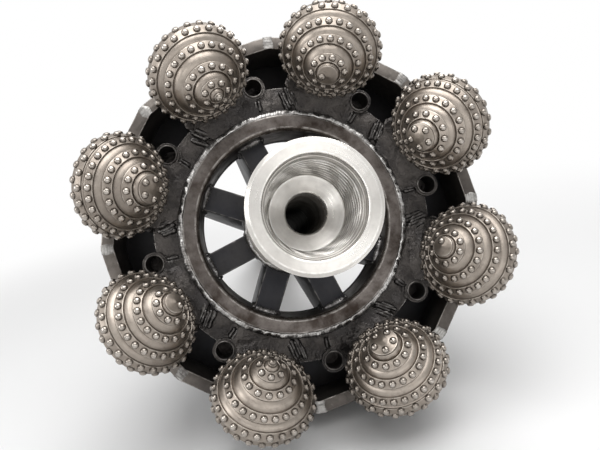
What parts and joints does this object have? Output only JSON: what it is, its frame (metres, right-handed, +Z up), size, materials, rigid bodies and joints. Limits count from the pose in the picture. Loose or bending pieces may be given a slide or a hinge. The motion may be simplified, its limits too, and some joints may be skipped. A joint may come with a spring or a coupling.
{
  "type": "rock reamer",
  "caption": "Hole opener for horizontal drilling: a ring of free-turning, carbide-studded roller cones on a welded body around a hollow shaft with a box end and a pin end.",
  "frame": {"origin": "centre of the bounding box's base, on the floor that the tool lies on", "axes": "+Z up, -Y towards the cones and the box end, +Y towards the tail, +X to the right for someone who faces the cones; the shaft slopes down to the tail because the tool lies on two legs and its tail shoulder"},
  "size_m": [0.8254, 1.8548, 0.867],
  "materials": {
    "machined_steel": "satin",
    "ring_steel": "satin",
    "plate_steel": "matte",
    "forged_steel": "matte",
    "cone_steel": "satin",
    "nozzle_steel": "satin"
  },
  "bodies": {
    "body": {"box_shaft": "machined_steel", "hub": "ring_steel", "pin_shaft": "machined_steel", "hub_ring": "ring_steel", "back_plate": "plate_steel", "webs": "plate_steel", "nozzles": "nozzle_steel", "arm_1": "plate_steel", "arm_2": "plate_steel", "arm_3": "plate_steel", "arm_4": "plate_steel", "arm_5": "plate_steel", "arm_6": "plate_steel", "arm_7": "plate_steel", "arm_8": "plate_steel", "rim_1": "plate_steel", "rim_2": "plate_steel", "rim_3": "plate_steel", "rim_4": "plate_steel", "rim_5": "plate_steel", "rim_6": "plate_steel", "rim_7": "plate_steel", "rim_8": "plate_steel", "leg_1": "forged_steel", "leg_2": "forged_steel", "leg_3": "forged_steel", "leg_4": "forged_steel", "leg_5": "forged_steel", "leg_6": "forged_steel", "leg_7": "forged_steel", "leg_8": "forged_steel"},
    "cone_1": {"cone_1": "cone_steel"},
    "cone_2": {"cone_2": "cone_steel"},
    "cone_3": {"cone_3": "cone_steel"},
    "cone_4": {"cone_4": "cone_steel"},
    "cone_5": {"cone_5": "cone_steel"},
    "cone_6": {"cone_6": "cone_steel"},
    "cone_7": {"cone_7": "cone_steel"},
    "cone_8": {"cone_8": "cone_steel"}
  },
  "joints": [
    {"name": "cone_1_spin", "type": "hinge", "parent": "body", "child": "cone_1", "pos_m": [0.3289, -0.52985, 0.58686], "axis": [-0.6866, -0.7195, -0.1044], "continuous": true},
    {"name": "cone_2_spin", "type": "hinge", "parent": "body", "child": "cone_2", "pos_m": [0.13623, -0.48073, 0.77316], "axis": [-0.2844, -0.822, -0.4933], "continuous": true},
    {"name": "cone_3_spin", "type": "hinge", "parent": "body", "child": "cone_3", "pos_m": [-0.13623, -0.48073, 0.77316], "axis": [0.2844, -0.822, -0.4933], "continuous": true},
    {"name": "cone_4_spin", "type": "hinge", "parent": "body", "child": "cone_4", "pos_m": [-0.3289, -0.52985, 0.58686], "axis": [0.6866, -0.7195, -0.1044], "continuous": true},
    {"name": "cone_5_spin", "type": "hinge", "parent": "body", "child": "cone_5", "pos_m": [-0.3289, -0.5993, 0.32339], "axis": [0.6866, -0.5745, 0.4456], "continuous": true},
    {"name": "cone_6_spin", "type": "hinge", "parent": "body", "child": "cone_6", "pos_m": [-0.13623, -0.64841, 0.13709], "axis": [0.2844, -0.472, 0.8345], "continuous": true},
    {"name": "cone_7_spin", "type": "hinge", "parent": "body", "child": "cone_7", "pos_m": [0.13623, -0.64841, 0.13709], "axis": [-0.2844, -0.472, 0.8345], "continuous": true},
    {"name": "cone_8_spin", "type": "hinge", "parent": "body", "child": "cone_8", "pos_m": [0.3289, -0.5993, 0.32339], "axis": [-0.6866, -0.5745, 0.4456], "continuous": true}
  ]
}
